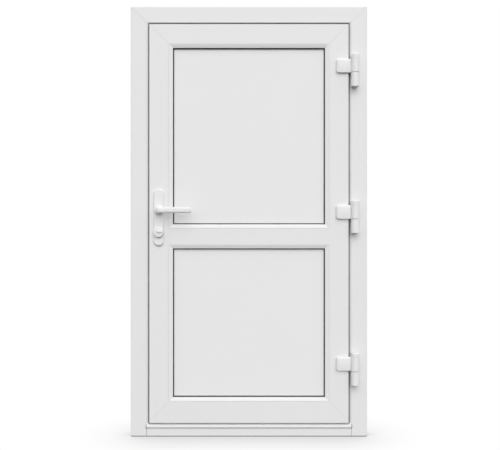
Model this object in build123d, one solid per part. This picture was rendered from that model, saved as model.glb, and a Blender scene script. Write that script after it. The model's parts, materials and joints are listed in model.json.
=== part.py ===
from build123d import *
import os

os.makedirs("parts", exist_ok=True)

# A single uPVC door in its frame, seen from the side that it opens to.
# +X runs to the hinge side, +Y through the wall away from the viewer, +Z up.
# The origin is on the floor, in the middle of the threshold.

# Overall size
door_width = 1100.0
door_height = 2000.0

# Frame section
frame_flat = 73.5
frame_bevel = 5.0
land_drop = 2.5
upstand_height = 16.0
upstand_thickness = 10.0
frame_edge_round = 4.5
foot_recess = 8.0
foot_recess_height = 2.5
weld_width = 1.8
fixing_hole_radius = 3.8
fixing_end_distance = 200.0
fixing_inner_spacing = 560.0

# How the leaf sits in the frame
lip_setback = 87.5
leaf_lift = 2.9
lip_overlap = 8.0
rebate_gap = 8.0
sash_proud = 10.0
stop_gap = 5.0
seal_clearance = 0.5

# Leaf section
sash_depth = 65.0
sash_width = 89.8
lip_thickness = 6.5
sash_edge_round = 1.5
fixed_lip = 20.0
fixed_lip_bevel = 8.0
mid_rail_width = 73.0
mid_rail_height = 930.7
drip_height = 9.2

# Panels, beads and gaskets
panel_thickness = 28.0
panel_edge_gap = 5.0
bead_width = 19.5
bead_flat = 4.0
bead_nose_drop = 5.0
bead_foot_depth = 12.5
bead_seam = 0.35
bead_seam_depth = 3.0
gasket_thickness = 4.0
gasket_cover = 10.0
gasket_show = 4.5
back_gasket_thickness = 4.0
leaf_seal_show = 4.8
leaf_seal_head_show = 5.9
leaf_seal_foot_show = 3.5
leaf_seal_cover = 9.0
frame_seal_width = 9.0
frame_seal_inset = 2.5

# Threshold
threshold_lip_height = 74.5
threshold_fascia = 38.0
nose_top = 56.0
nose_proud = 7.0

# Hinges, by the height of the seam between their two knuckles
hinge_below_head = 312.5
hinge_middle = 1011.0
hinge_above_floor = 309.0
hinge_offset = 27.5
hinge_standoff = 24.2
barrel_radius = 18.7
knuckle_height = 63.8
knuckle_seam = 1.6
cap_height = 21.0
cap_rim = 3.0
cap_seam = 0.7
pin_radius = 7.0
pin_clearance = 0.05
pin_seat = 8.0
pin_top_gap = 3.0
flag_reach = 58.0
flag_thickness = 14.0
flag_corner = 11.0
flag_rim = 9.0
flag_rim_drop = 4.5
flag_crown = 250.0
foot_width = 22.0

# Handle and lock
lever_height = 1051.5
lock_drop = 102.0
plate_height = 263.5
plate_width = 47.0
back_plate_width = 30.0
plate_thickness = 10.0
plate_rim = 3.5
plate_below_lever = 164.5
rose_radius = 19.5
back_rose_radius = 14.0
rose_height = 11.0
rose_round = 5.0
lever_length = 155.5
lever_standoff = 34.0
grip_height = 27.0
grip_thickness = 16.0
grip_round = 7.0
grip_tip = 13.0
lever_bend = 12.0
journal_radius = 10.0
journal_depth = 7.0
journal_clearance = 0.08
turning_gap = 0.3
spindle_width = 8.0
spindle_hole_radius = 11.0
boss_radius = 24.5
boss_height = 12.0
boss_round = 6.0
turn_length = 26.0
turn_height = 10.0
turn_depth = 4.0
turn_rim = 1.0
turn_reach = 6.5
turn_rise = 3.5
turn_shaft_radius = 6.0
cylinder_radius = 8.5
cylinder_tail_width = 10.0
cylinder_tail_drop = 24.5
cylinder_proud = 2.0
cylinder_clearance = 0.5
key_slot_width = 2.2
key_slot_height = 9.0
key_slot_depth = 20.0
faceplate_width = 16.0
faceplate_thickness = 2.5
faceplate_bottom = 330.0
faceplate_below_head = 280.0
keep_width = 20.0
keep_height = 150.0
keep_above_floor = 460.0
keep_below_head = 420.0

# Places that follow from the sizes above
half_width = door_width / 2
frame_depth = sash_depth - sash_proud + stop_gap + upstand_thickness
frame_front = -frame_depth / 2
frame_back = frame_depth / 2
land_y = frame_front + land_drop
rebate_wall = lip_setback + lip_overlap
upstand_edge = rebate_wall + upstand_height
sash_front = frame_front - sash_proud
sash_back = sash_front + sash_depth
upstand_y = sash_back + stop_gap
lip_back = sash_front + lip_thickness
lip_width = lip_overlap + rebate_gap
lip_x = half_width - lip_setback
lip_top = door_height - lip_setback + leaf_lift
lip_bottom = threshold_lip_height
drip_bottom = lip_bottom - drip_height
pane_x = lip_x - sash_width
pane_top = lip_top - sash_width
pane_bottom = lip_bottom + sash_width
mid_top = mid_rail_height + mid_rail_width / 2
mid_bottom = mid_rail_height - mid_rail_width / 2
panel_recess = bead_foot_depth + gasket_thickness
fixed_lip_depth = panel_recess + panel_thickness + back_gasket_thickness
sash_reach = sash_width + fixed_lip
threshold_x = half_width - frame_flat
rebate_floor = lip_bottom + lip_overlap
hinge_x = lip_x + hinge_offset
hinge_y = frame_front - hinge_standoff
handle_x = -(lip_x - sash_width / 2)
lock_height = lever_height - lock_drop
plate_front = sash_front - plate_thickness
plate_back = sash_back + plate_thickness
boss_seat = plate_front + plate_rim
hinge_seams = {
    "upper": door_height - hinge_below_head,
    "middle": hinge_middle,
    "lower": hinge_above_floor,
}
keep_heights = (keep_above_floor, lock_height, door_height - keep_below_head)
rim_steps = (0, 45, 90)


def section(points, rounds=()):
    """A closed face from its corners; rounds pairs a corner's number with its radius."""
    radii = [dict(rounds).get(number, 0.0) for number in range(len(points))]
    return make_face(FilletPolyline(*points, radius=radii, close=True))


def block(x0, x1, y0, y1, z0, z1):
    """A box between two values on each axis."""
    size = Box(x1 - x0, y1 - y0, z1 - z0)
    return Pos((x0 + x1) / 2, (y0 + y1) / 2, (z0 + z1) / 2) * size


def soft_corner(x, y, radius, start):
    """Points round a corner, in two flats, about its centre and from a starting angle."""
    spokes = [Vector(radius, 0, 0).rotate(Axis.Z, start + step) for step in rim_steps]
    return [(x + spoke.X, y + spoke.Y) for spoke in spokes]


def soft_rectangle(width, height, radius):
    """A rectangle with its corners rounded in flats."""
    x = width / 2 - radius
    y = height / 2 - radius
    points = soft_corner(x, y, radius, 0) + soft_corner(-x, y, radius, 90)
    points += soft_corner(-x, -y, radius, 180) + soft_corner(x, -y, radius, 270)
    return make_face(Polyline(*points, close=True))


def turned(outline, place):
    """A turned piece: radius and height pairs, spun about the z axis of its place."""
    return place * revolve(Plane.XZ * section(outline), axis=Axis.Z)


def collar(radius, height, rim, bore, place):
    """A turned collar with a domed rim and a bore."""
    outline = [(bore, 0), (radius, 0)]
    outline += soft_corner(radius - rim, height - rim, rim, 0)
    return turned(outline + [(bore, height)], place)


def bar(face, corner, inward, length):
    """Extrude a section along one side: its x runs inward, its y to the back, its length clockwise."""
    run = Vector(inward).cross(Vector(0, 1, 0))
    place = Plane(origin=corner, x_dir=inward, z_dir=run)
    return extrude(place * face, amount=length)


def mitre(corner, inward, length, reach, depth, cut_start=True, cut_end=True):
    """The wedge that trims a bar of this length to its 45 degree corners."""
    run = Vector(inward).cross(Vector(0, 1, 0))
    start = reach if cut_start else 0.0
    end = length - reach if cut_end else length
    outline = Polyline((0, 0), (length, 0), (end, reach), (start, reach), close=True)
    place = Plane(origin=corner, x_dir=run, z_dir=run.cross(Vector(inward)))
    return extrude(place * make_face(outline), amount=depth, both=True)


def mitred_bar(face, corner, inward, length, reach, depth, cut_start=True, cut_end=True):
    """One side of a mitred rectangle."""
    plain = bar(face, corner, inward, length)
    return plain & mitre(corner, inward, length, reach, depth, cut_start, cut_end)


def mitred_ring(face, x0, x1, z0, z1, y, reach, depth):
    """Four mitred bars round a rectangle, named by side."""
    sides = {
        "left": ((x0, y, z0), (1, 0, 0), z1 - z0),
        "top": ((x0, y, z1), (0, 0, -1), x1 - x0),
        "right": ((x1, y, z1), (-1, 0, 0), z1 - z0),
        "bottom": ((x1, y, z0), (0, 0, 1), x1 - x0),
    }
    return {side: mitred_bar(face, *place, reach, depth) for side, place in sides.items()}


def strip_ring(x0, x1, z0, z1, width, y0, y1):
    """A flat rubber ring: the given rectangle, less the same one set in by its width."""
    outer = block(x0, x1, y0, y1, z0, z1)
    return outer - block(x0 + width, x1 - width, y0, y1, z0 + width, z1 - width)


def weld_grooves(corners, faces):
    """Fine V grooves along the mitres: corners pairs a point in x and z with its way inward."""
    grooves = []
    for (x, z), (to_x, to_z) in corners:
        for y, reach in faces:
            place = Plane(origin=(x, y, z), x_dir=(0, 1, 0), z_dir=(to_x, 0, to_z))
            grooves.append(extrude(place * RegularPolygon(weld_width / 2, 4), amount=reach * 2**0.5))
    return grooves


def frame_section():
    """Face, bevel and land in front; rebate and upstand behind."""
    foot = frame_flat + frame_bevel
    stop = upstand_y - frame_front
    points = [
        (0, 0),
        (frame_flat, 0),
        (foot, land_drop),
        (rebate_wall, land_drop),
        (rebate_wall, stop),
        (upstand_edge, stop),
        (upstand_edge, frame_depth),
        (0, frame_depth),
    ]
    return section(points, {0: frame_edge_round, 6: frame_edge_round, 7: frame_edge_round})


def sash_section():
    """Overlapping lip, face, glazing rebate and the bevelled fixed lip on the back."""
    points = [
        (0, 0),
        (sash_width, 0),
        (sash_width, fixed_lip_depth),
        (sash_reach, fixed_lip_depth),
        (sash_reach, sash_depth - fixed_lip_bevel),
        (sash_reach - fixed_lip_bevel, sash_depth),
        (lip_width, sash_depth),
        (lip_width, lip_thickness),
        (0, lip_thickness),
    ]
    return section(points, {0: sash_edge_round, 6: sash_edge_round})


def mid_rail_section():
    """The glazing rebates of the leaf section, back to back."""
    half = mid_rail_width / 2
    back = half + fixed_lip
    right = [
        (half, 0),
        (half, fixed_lip_depth),
        (back, fixed_lip_depth),
        (back, sash_depth - fixed_lip_bevel),
        (back - fixed_lip_bevel, sash_depth),
    ]
    left = [(-x, y) for x, y in reversed(right)]
    return section(right + left)


def bead_section():
    """Snap-in bead: a fine open seam, a narrow flat beside it, then a slope down to the gasket."""
    points = [
        (bead_seam, 0),
        (bead_flat, 0),
        (bead_width, bead_nose_drop),
        (bead_width, bead_foot_depth),
        (0, bead_foot_depth),
        (0, bead_seam_depth),
        (bead_seam, bead_seam_depth),
    ]
    return section(points)


def threshold_section():
    """In y and z: plain fascia, rounded nose, land for the seal, rebate floor and rear upstand."""
    nose = ThreePointArc(
        (frame_front, threshold_fascia),
        (frame_front - nose_proud, (threshold_fascia + nose_top) / 2),
        (frame_front, nose_top),
    )
    rest = Polyline(
        (frame_front, nose_top),
        (land_y, nose_top + frame_bevel),
        (land_y, rebate_floor),
        (upstand_y, rebate_floor),
        (upstand_y, rebate_floor + upstand_height),
        (frame_back, rebate_floor + upstand_height),
        (frame_back, 0),
        (frame_front + foot_recess, 0),
        (frame_front + foot_recess, foot_recess_height),
        (frame_front, foot_recess_height),
        (frame_front, threshold_fascia),
    )
    return make_face([nose, rest])


def foot_rebate():
    """What the shadow gap along the floor takes off the front of the jambs."""
    return block(-half_width, half_width, frame_front, frame_front + foot_recess, 0, foot_recess_height)


def joint_groove(side):
    """The fine V between a jamb and the threshold's fascia."""
    place = Plane(origin=(side * threshold_x, frame_front, 0), z_dir=(0, 0, 1))
    return extrude(place * RegularPolygon(weld_width / 2, 4), amount=threshold_fascia)


def frame_welds():
    """The grooves of the two top corners, in front and behind."""
    corners = [((side * half_width, door_height), (-side, -1)) for side in (-1, 1)]
    return weld_grooves(corners, ((frame_front, frame_flat), (frame_back, upstand_edge)))


def leaf_welds():
    """The grooves of the leaf's four corners, in front and behind."""
    corners = []
    for side in (-1, 1):
        corners.append(((side * lip_x, lip_top), (-side, -1)))
        corners.append(((side * lip_x, lip_bottom), (-side, 1)))
    return weld_grooves(corners, ((sash_front, sash_width), (sash_back, sash_reach - fixed_lip_bevel)))


def fixing_holes(x0, x1):
    """Frame-screw holes across a jamb, two pairs about its middle height."""
    outer = door_height / 2 - fixing_end_distance
    inner = fixing_inner_spacing / 2
    y = (land_y + upstand_y) / 2
    holes = []
    for offset in (-outer, -inner, inner, outer):
        place = Pos((x0 + x1) / 2, y, door_height / 2 + offset) * Rot(0, 90, 0)
        holes.append(place * Cylinder(fixing_hole_radius, x1 - x0))
    return holes


def jamb(side):
    """A jamb mitred at the head and cut away at its foot for the threshold; side is -1 or 1."""
    face = frame_section()
    inward = (-side, 0, 0)
    up = side < 0
    corner = (side * half_width, frame_front, 0 if up else door_height)
    body = mitred_bar(face, corner, inward, door_height, upstand_edge, frame_depth, not up, up)
    x0, x1 = sorted((side * threshold_x, side * (half_width - upstand_edge)))
    body -= block(x0, x1, frame_front, frame_back, 0, nose_top)
    body -= foot_rebate()
    body -= joint_groove(side)
    for groove in frame_welds():
        body -= groove
    x0, x1 = sorted((side * half_width, side * (half_width - rebate_wall)))
    for hole in fixing_holes(x0, x1):
        body -= hole
    return body


def head():
    corner = (-half_width, frame_front, door_height)
    body = mitred_bar(frame_section(), corner, (0, 0, -1), door_width, upstand_edge, frame_depth)
    for groove in frame_welds():
        body -= groove
    return body


def threshold(jambs):
    """Runs between the jambs' flats and is scribed to them above its nose."""
    place = Plane(origin=(-threshold_x, 0, 0), x_dir=(0, 1, 0), z_dir=(1, 0, 0))
    body = extrude(place * threshold_section(), amount=2 * threshold_x)
    for post in jambs:
        body -= post
    for side in (-1, 1):
        body -= joint_groove(side)
    return body


def lock_keeps():
    """Striker plates let into the lock-side rebate wall, flush with it."""
    face_x = -(half_width - rebate_wall)
    y = (lip_back + sash_back) / 2
    plates = []
    for z in keep_heights:
        plates.append(
            block(
                face_x - faceplate_thickness,
                face_x,
                y - keep_width / 2,
                y + keep_width / 2,
                z - keep_height / 2,
                z + keep_height / 2,
            )
        )
    return plates


def lock_faceplate():
    """The lock's long strip, let into the edge of the lock stile."""
    edge_x = -(lip_x - lip_width)
    y = (lip_back + sash_back) / 2
    return block(
        edge_x,
        edge_x + faceplate_thickness,
        y - faceplate_width / 2,
        y + faceplate_width / 2,
        faceplate_bottom,
        door_height - faceplate_below_head,
    )


def across(x, y0, y1, z, radius):
    """A round bar along Y."""
    return Pos(x, (y0 + y1) / 2, z) * Rot(90, 0, 0) * Cylinder(radius, y1 - y0)


def cylinder_prism(y0, y1, clearance):
    """The lock cylinder's outline, a round barrel over a narrow tail, between two depths."""
    half_tail = cylinder_tail_width / 2 + clearance
    radius = cylinder_radius + clearance
    bottom = lock_height - cylinder_tail_drop - clearance
    tail = block(handle_x - half_tail, handle_x + half_tail, y0, y1, bottom, lock_height)
    return across(handle_x, y0, y1, lock_height, radius) + tail


def lock_cylinder():
    """Cylinder body with a key slot in the end on the back."""
    end = plate_back + cylinder_proud
    half_slot = key_slot_width / 2
    half_height = key_slot_height / 2
    slot = block(
        handle_x - half_slot,
        handle_x + half_slot,
        end - key_slot_depth,
        end,
        lock_height - half_height,
        lock_height + half_height,
    )
    return cylinder_prism(boss_seat, end, 0.0) - slot


def facing(outward, y, z):
    """A place on the handle's line whose z axis points out of the leaf, to the front or the back."""
    return Pos(handle_x, y, z) * Rot(-90 * outward, 0, 0)


def handle_plate(width, rose, y_seat, y_face):
    """A round-ended plate with a rose for the lever, bored for the lever and the lock cylinder."""
    centre_z = lever_height - plate_below_lever + plate_height / 2
    outward = -1 if y_face < y_seat else 1
    place = Plane(origin=(handle_x, y_seat, centre_z), x_dir=(0, 0, 1), z_dir=(0, outward, 0))
    body = extrude(place * SlotOverall(plate_height, width), amount=plate_thickness)
    body = chamfer(body.faces().sort_by(Axis.Y)[0 if outward < 0 else -1].edges(), plate_rim)
    bore = journal_radius + journal_clearance
    body += collar(rose, rose_height, rose_round, bore, facing(outward, y_face, lever_height))
    y0, y1 = sorted((y_seat, y_face))
    body -= across(handle_x, y0, y1, lever_height, bore)
    return body - cylinder_prism(y0, y1, cylinder_clearance)


def lever():
    """Round journal, neck and a grip bent through a right angle, standing in front of y = 0."""
    path = FilletPolyline(
        (0, -turning_gap, 0),
        (0, -lever_standoff, 0),
        (lever_length, -lever_standoff, 0),
        radius=lever_bend,
    )
    start = Plane(origin=(0, -turning_gap, 0), x_dir=(1, 0, 0), z_dir=(0, -1, 0))
    body = sweep(start * soft_rectangle(grip_thickness, grip_height, grip_round), path=path)
    half = grip_height / 2
    outline = [(-lever_length, -half), (lever_length, -half), (lever_length, half), (-lever_length, half)]
    body &= extrude(Plane.XZ * section(outline, {1: grip_tip, 2: grip_tip}), amount=2 * lever_standoff)
    return body + across(0, -turning_gap, rose_height + journal_depth, 0, journal_radius)


def spindle():
    """Square bar between the two levers."""
    half = spindle_width / 2
    y0 = plate_front + journal_depth
    y1 = plate_back - journal_depth
    return block(handle_x - half, handle_x + half, y0, y1, lever_height - half, lever_height + half)


def lock_boss():
    """Domed collar over the cylinder, let into the plate by its rim and bored for the turn's shaft."""
    bore = turn_shaft_radius + journal_clearance
    place = facing(-1, boss_seat, lock_height)
    return collar(boss_radius, boss_height + plate_rim, boss_round, bore, place)


def thumb_turn():
    """Low flat paddle, level at rest and longer to one side, on a round shaft."""
    y = plate_front - boss_height - turning_gap
    corner = (handle_x + turn_reach, y, lock_height + turn_rise)
    place = Plane(origin=corner, x_dir=(1, 0, 0), z_dir=(0, -1, 0))
    grip = extrude(place * Rectangle(turn_length, turn_height), amount=turn_depth)
    grip = chamfer(grip.faces().sort_by(Axis.Y)[0].edges(), turn_rim)
    return grip + across(handle_x, y, boss_seat - turning_gap, lock_height, turn_shaft_radius)


def barrel(z0, z1, bore):
    """A hinge knuckle's turned part."""
    outline = [(bore, z0), (barrel_radius, z0), (barrel_radius, z1), (bore, z1)]
    return turned(outline, Pos(hinge_x, hinge_y, 0))


def hinge_flag(seam):
    """The leaf's half: a crowned plate on the sash face and the upper knuckle, bored for the pin."""
    z0 = seam + knuckle_seam / 2
    z1 = z0 + knuckle_height
    bore = pin_radius + pin_clearance
    edge_x = lip_x - flag_reach
    plate = block(edge_x, hinge_x, sash_front - flag_thickness, sash_front, z0, z1)
    upper_corner = plate.edges().filter_by(Axis.Y).group_by(Axis.X)[0].sort_by(Axis.Z)[-1]
    plate = fillet(upper_corner, flag_corner)
    front = plate.faces().sort_by(Axis.Y)[0]
    outside = front.edges().sort_by(Axis.X)[0]
    plate = chamfer(outside, flag_rim, flag_rim_drop, reference=front)
    outline = section([(edge_x, z0), (hinge_x, z0), (hinge_x, z1), (edge_x, z1)], {0: flag_corner})
    plate &= extrude(Plane.XZ * outline, amount=flag_thickness - sash_front)
    crown = Pos(hinge_x, sash_front - flag_thickness + flag_crown, (z0 + z1) / 2) * Rot(0, 90, 0)
    plate &= crown * Cylinder(flag_crown, 2 * (flag_reach + hinge_offset))
    plate -= Pos(hinge_x, hinge_y, (z0 + z1) / 2) * Cylinder(bore, knuckle_height)
    return plate + barrel(z0, z1, bore)


def hinge_knuckle(seam):
    """The frame's half: the lower knuckle on a foot, with a blind hole for the pin."""
    z1 = seam - knuckle_seam / 2
    z0 = z1 - knuckle_height
    half = foot_width / 2
    foot = block(hinge_x - half, hinge_x + half, hinge_y, frame_front, z0, z1)
    depth = knuckle_height - pin_seat
    hole = Pos(hinge_x, hinge_y, z1 - depth / 2) * Cylinder(pin_radius + pin_clearance, depth)
    return barrel(z0, z1, 0) + foot - hole


def hinge_pin(seam):
    z0 = seam - knuckle_seam / 2 - knuckle_height + pin_seat
    z1 = seam + knuckle_seam / 2 + knuckle_height - pin_top_gap
    return Pos(hinge_x, hinge_y, (z0 + z1) / 2) * Cylinder(pin_radius, z1 - z0)


def hinge_cap(seam):
    """The cover on top of the upper knuckle, bevelled above and, more finely, at its seam."""
    z0 = seam + knuckle_seam / 2 + knuckle_height
    outline = [
        (0, 0),
        (barrel_radius - cap_seam, 0),
        (barrel_radius, cap_seam),
        (barrel_radius, cap_height - cap_rim),
        (barrel_radius - cap_rim, cap_height),
        (0, cap_height),
    ]
    return turned(outline, Pos(hinge_x, hinge_y, z0))


def panel(z0, z1):
    """A flat infill panel between its gaskets."""
    y0 = sash_front + panel_recess
    x = pane_x - panel_edge_gap
    return block(-x, x, y0, y0 + panel_thickness, z0 + panel_edge_gap, z1 - panel_edge_gap)


def panel_gaskets(z0, z1):
    """The rubber rings in front of and behind a panel."""
    front = sash_front + bead_foot_depth
    back = sash_front + panel_recess + panel_thickness
    rings = []
    edges = ((front, gasket_thickness, bead_width), (back, back_gasket_thickness, fixed_lip))
    for y, thickness, nose in edges:
        inset = nose - gasket_cover
        x = pane_x - inset
        width = gasket_cover + gasket_show
        rings.append(strip_ring(-x, x, z0 + inset, z1 - inset, width, y, y + thickness))
    return rings


def leaf_seal():
    """The dark weather seal under the leaf's lip, showing past its edge."""
    x = lip_x + leaf_seal_show
    y = land_y - seal_clearance
    outer = block(-x, x, lip_back, y, drip_bottom - leaf_seal_foot_show, lip_top + leaf_seal_head_show)
    x = lip_x - leaf_seal_cover
    return outer - block(-x, x, lip_back, y, drip_bottom + leaf_seal_cover, lip_top - leaf_seal_cover)


def frame_seal():
    """The seal on the frame's upstand, just clear of the closed leaf."""
    reach = upstand_edge - frame_seal_inset - frame_seal_width
    x = half_width - reach
    z0 = rebate_floor + upstand_height - frame_seal_inset - frame_seal_width
    z1 = door_height - reach
    return strip_ring(-x, x, z0, z1, frame_seal_width, sash_back + seal_clearance, upstand_y)


def bottom_rail(plain):
    """The bottom rail, its lip drawn down as a drip over the threshold."""
    drip = block(-lip_x, lip_x, sash_front, lip_back, drip_bottom, lip_bottom)
    x = lip_x - sash_edge_round
    edge = block(-x, x, sash_front, lip_back, lip_bottom, lip_bottom + sash_edge_round)
    return plain + drip + edge


def lock_stile(plain):
    """The lock-side stile with its faceplate recess, spindle hole and cylinder hole."""
    body = plain - lock_faceplate()
    body -= across(handle_x, sash_front, sash_back, lever_height, spindle_hole_radius)
    return body - cylinder_prism(sash_front, sash_back, cylinder_clearance)


def mid_rail(stiles):
    """Runs between the stiles' rebates and is scribed round their back lips."""
    place = Plane(origin=(-pane_x, sash_front, mid_rail_height), x_dir=(0, 0, -1), z_dir=(1, 0, 0))
    body = extrude(place * mid_rail_section(), amount=2 * pane_x)
    for stile in stiles:
        body -= stile
    return body


def build():
    """Every piece of the door, by name."""
    pieces = {}
    keeps = lock_keeps()
    lock_jamb = jamb(-1)
    for plate in keeps:
        lock_jamb -= plate
    hinge_jamb = jamb(1)
    pieces["frame_jamb_lock_side"] = lock_jamb
    pieces["frame_jamb_hinge_side"] = hinge_jamb
    pieces["frame_head"] = head()
    pieces["threshold"] = threshold((jamb(-1), hinge_jamb))
    pieces["frame_seal"] = frame_seal()
    pieces["lock_keeps"] = Compound(children=keeps)

    sash = mitred_ring(
        sash_section(), -lip_x, lip_x, lip_bottom, lip_top, sash_front, sash_reach, sash_depth
    )
    for groove in leaf_welds():
        sash = {side: member - groove for side, member in sash.items()}
    pieces["leaf_stile_lock_side"] = lock_stile(sash["left"])
    pieces["leaf_stile_hinge_side"] = sash["right"]
    pieces["leaf_top_rail"] = sash["top"]
    pieces["leaf_bottom_rail"] = bottom_rail(sash["bottom"])
    pieces["leaf_mid_rail"] = mid_rail((sash["left"], sash["right"]))
    pieces["leaf_seal"] = leaf_seal()
    pieces["lock_faceplate"] = lock_faceplate()

    for name, z0, z1 in (("upper", mid_top, pane_top), ("lower", pane_bottom, mid_bottom)):
        pieces[f"{name}_panel"] = panel(z0, z1)
        pieces[f"{name}_panel_gaskets"] = Compound(children=panel_gaskets(z0, z1))
        beads = mitred_ring(
            bead_section(), -pane_x, pane_x, z0, z1, sash_front, bead_width, sash_depth
        )
        for side, bead in beads.items():
            pieces[f"{name}_panel_bead_{side}"] = bead

    for name, seam in hinge_seams.items():
        pieces[f"{name}_hinge_knuckle"] = hinge_knuckle(seam)
        pieces[f"{name}_hinge_pin"] = hinge_pin(seam)
        pieces[f"{name}_hinge_flag"] = hinge_flag(seam)
        pieces[f"{name}_hinge_cap"] = hinge_cap(seam)

    front_plate = handle_plate(plate_width, rose_radius, sash_front, plate_front)
    seat = across(handle_x, plate_front, boss_seat, lock_height, boss_radius)
    pieces["handle_plate_front"] = front_plate - seat
    pieces["handle_plate_back"] = handle_plate(back_plate_width, back_rose_radius, sash_back, plate_back)
    pieces["lock_cylinder"] = lock_cylinder()
    pieces["lock_boss"] = lock_boss()
    pieces["thumb_turn"] = thumb_turn()
    front = Pos(handle_x, plate_front - rose_height, lever_height)
    back = Pos(handle_x, plate_back + rose_height, lever_height)
    pieces["lever_front"] = front * lever()
    pieces["lever_back"] = back * mirror(lever(), about=Plane.XZ)
    pieces["handle_spindle"] = spindle()
    return pieces


for name, shape in build().items():
    export_step(shape, f"parts/{name}.step")
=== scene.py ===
# %% [markdown]
# # A white uPVC door in its frame
#
# The door's solids come packed from the CAD side: frame, threshold, leaf, panels, beads, hinges, handle and lock.
# They are already at their real size and place, so this lesson never moves or reshapes them. It looks after the
# rest: the camera, the light, the finish of every surface, and the small fittings that a door carries.

# %% Load the frame
import json
import math

import bmesh
import bpy
from mathutils import Matrix, Vector


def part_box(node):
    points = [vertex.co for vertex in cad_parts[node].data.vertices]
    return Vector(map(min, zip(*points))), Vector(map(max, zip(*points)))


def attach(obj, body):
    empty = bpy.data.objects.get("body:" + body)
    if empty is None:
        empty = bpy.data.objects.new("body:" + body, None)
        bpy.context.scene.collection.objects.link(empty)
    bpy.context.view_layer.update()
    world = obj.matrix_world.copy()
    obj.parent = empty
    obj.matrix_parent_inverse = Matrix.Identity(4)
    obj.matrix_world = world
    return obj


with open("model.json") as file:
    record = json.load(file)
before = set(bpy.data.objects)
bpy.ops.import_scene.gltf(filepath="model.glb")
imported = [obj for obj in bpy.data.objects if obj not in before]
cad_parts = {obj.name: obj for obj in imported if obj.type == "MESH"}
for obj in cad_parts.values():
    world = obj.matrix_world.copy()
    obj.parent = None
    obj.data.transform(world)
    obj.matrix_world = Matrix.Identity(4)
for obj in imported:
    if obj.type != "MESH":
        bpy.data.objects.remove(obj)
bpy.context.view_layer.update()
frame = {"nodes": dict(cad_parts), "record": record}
nodes = frame["nodes"]
record = frame["record"]

# %% [markdown]
# ## Camera
#
# The picture is a plain catalogue view: straight on, upright, with no lean. The top and bottom hinges show their
# ends a little, so it isn't a flat projection: a 50 mm lens on a 36 mm sensor, about three metres away, gives the
# same small amount of depth. The distance follows from the lens and from how large the door stands in the frame.

# %% Camera
PICTURE_WIDTH = 500
PICTURE_HEIGHT = 450
LENS = 50.0
SENSOR = 36.0
DOOR_LEFT_PX = 130.9
DOOR_RIGHT_PX = 367.0
DOOR_TOP_PX = 6.05
DOOR_FOOT_PX = 436.8

head_low, head_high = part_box("frame_head")
door_width = head_high.x - head_low.x
door_height = head_high.z
front_y = head_low.y
metres_per_px = (door_width / (DOOR_RIGHT_PX - DOOR_LEFT_PX) + door_height / (DOOR_FOOT_PX - DOOR_TOP_PX)) / 2
camera_distance = LENS / SENSOR * PICTURE_WIDTH * metres_per_px
camera_x = (PICTURE_WIDTH / 2 - (DOOR_LEFT_PX + DOOR_RIGHT_PX) / 2) * metres_per_px
camera_z = door_height / 2 + ((DOOR_TOP_PX + DOOR_FOOT_PX) / 2 - PICTURE_HEIGHT / 2) * metres_per_px

camera_data = bpy.data.cameras.new("catalogue_camera")
camera_data.lens = LENS
camera_data.sensor_width = SENSOR
camera = bpy.data.objects.new("catalogue_camera", camera_data)
camera.location = (camera_x, front_y - camera_distance, camera_z)
camera.rotation_euler = (math.pi / 2, 0, 0)
bpy.context.collection.objects.link(camera)
bpy.context.scene.camera = camera
bpy.context.scene.view_settings.view_transform = "Standard"
print("camera", round(camera_distance, 3), "m in front,", round(camera_z, 3), "m up")

# %% [markdown]
# ## Node helpers
#
# A finish is a small tree of nodes. Short helpers keep the rest readable: one feeds a socket with a link or a plain
# value, one places a Math node, and two more tell the rays that show a surface from the rays that only carry light.
# With those, a background can look white without pouring white light over a white door.

# %% Node helpers


def feed(tree, socket, value):
    """Link a socket to an output, or give it a plain value."""
    if isinstance(value, bpy.types.NodeSocket):
        tree.links.new(value, socket)
    else:
        socket.default_value = value


def chain(tree, operation, *values):
    """Place a Math node, feed its inputs in order, and return its output."""
    node = tree.nodes.new("ShaderNodeMath")
    node.operation = operation
    for socket, value in zip(node.inputs, values):
        feed(tree, socket, value)
    return node.outputs[0]


def seen_directly(tree):
    """1 for camera, mirror and glass rays, 0 for the rays that only carry light."""
    path = tree.nodes.new("ShaderNodeLightPath")
    both = chain(tree, "MAXIMUM", path.outputs["Is Camera Ray"], path.outputs["Is Glossy Ray"])
    return chain(tree, "MAXIMUM", both, path.outputs["Is Transmission Ray"])


def two_ways(tree, seen, unseen, output):
    """Send one shader to the rays that see the surface, and another to the rest."""
    choose = tree.nodes.new("ShaderNodeMixShader")
    feed(tree, choose.inputs[0], seen_directly(tree))
    feed(tree, choose.inputs[1], unseen.outputs[0])
    feed(tree, choose.inputs[2], seen.outputs[0])
    feed(tree, output.inputs["Surface"], choose.outputs[0])


print("helpers ready")

# %% [markdown]
# ## Light
#
# White on white is drawn by light alone. The door's upright faces all have about the same grey, slopes that face
# up are a little lighter, and slopes that face down are darker. An even dome gives most of it. A very broad key in
# front, well above and slightly to the right, adds the short soft shadows under the lever and the hinges. A weaker
# lamp behind keeps the back of the door as white as the front; it comes in low, so it adds nothing to the ledges
# that the front shows. Both lamps are kept out of mirror rays, because their images would wash over the gloss.

# %% Dome
DOME_LEVEL = 0.91

world = bpy.data.worlds.new("studio_dome")
bpy.context.scene.world = world
world.use_nodes = True
tree = world.node_tree
tree.nodes.clear()
dome = tree.nodes.new("ShaderNodeBackground")
dome.inputs["Color"].default_value = (1, 1, 1, 1)
dome.inputs["Strength"].default_value = DOME_LEVEL
plain_white = tree.nodes.new("ShaderNodeBackground")
plain_white.inputs["Color"].default_value = (1, 1, 1, 1)
two_ways(tree, plain_white, dome, tree.nodes.new("ShaderNodeOutputWorld"))
print("dome", DOME_LEVEL)

# %% Lamps
KEY_FROM = (0.14, -0.81, 0.57)
KEY_STRENGTH = 1.75
KEY_SPREAD = 60
REAR_FROM = (-0.10, 0.98, 0.17)
REAR_STRENGTH = 1.35
REAR_SPREAD = 40


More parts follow.
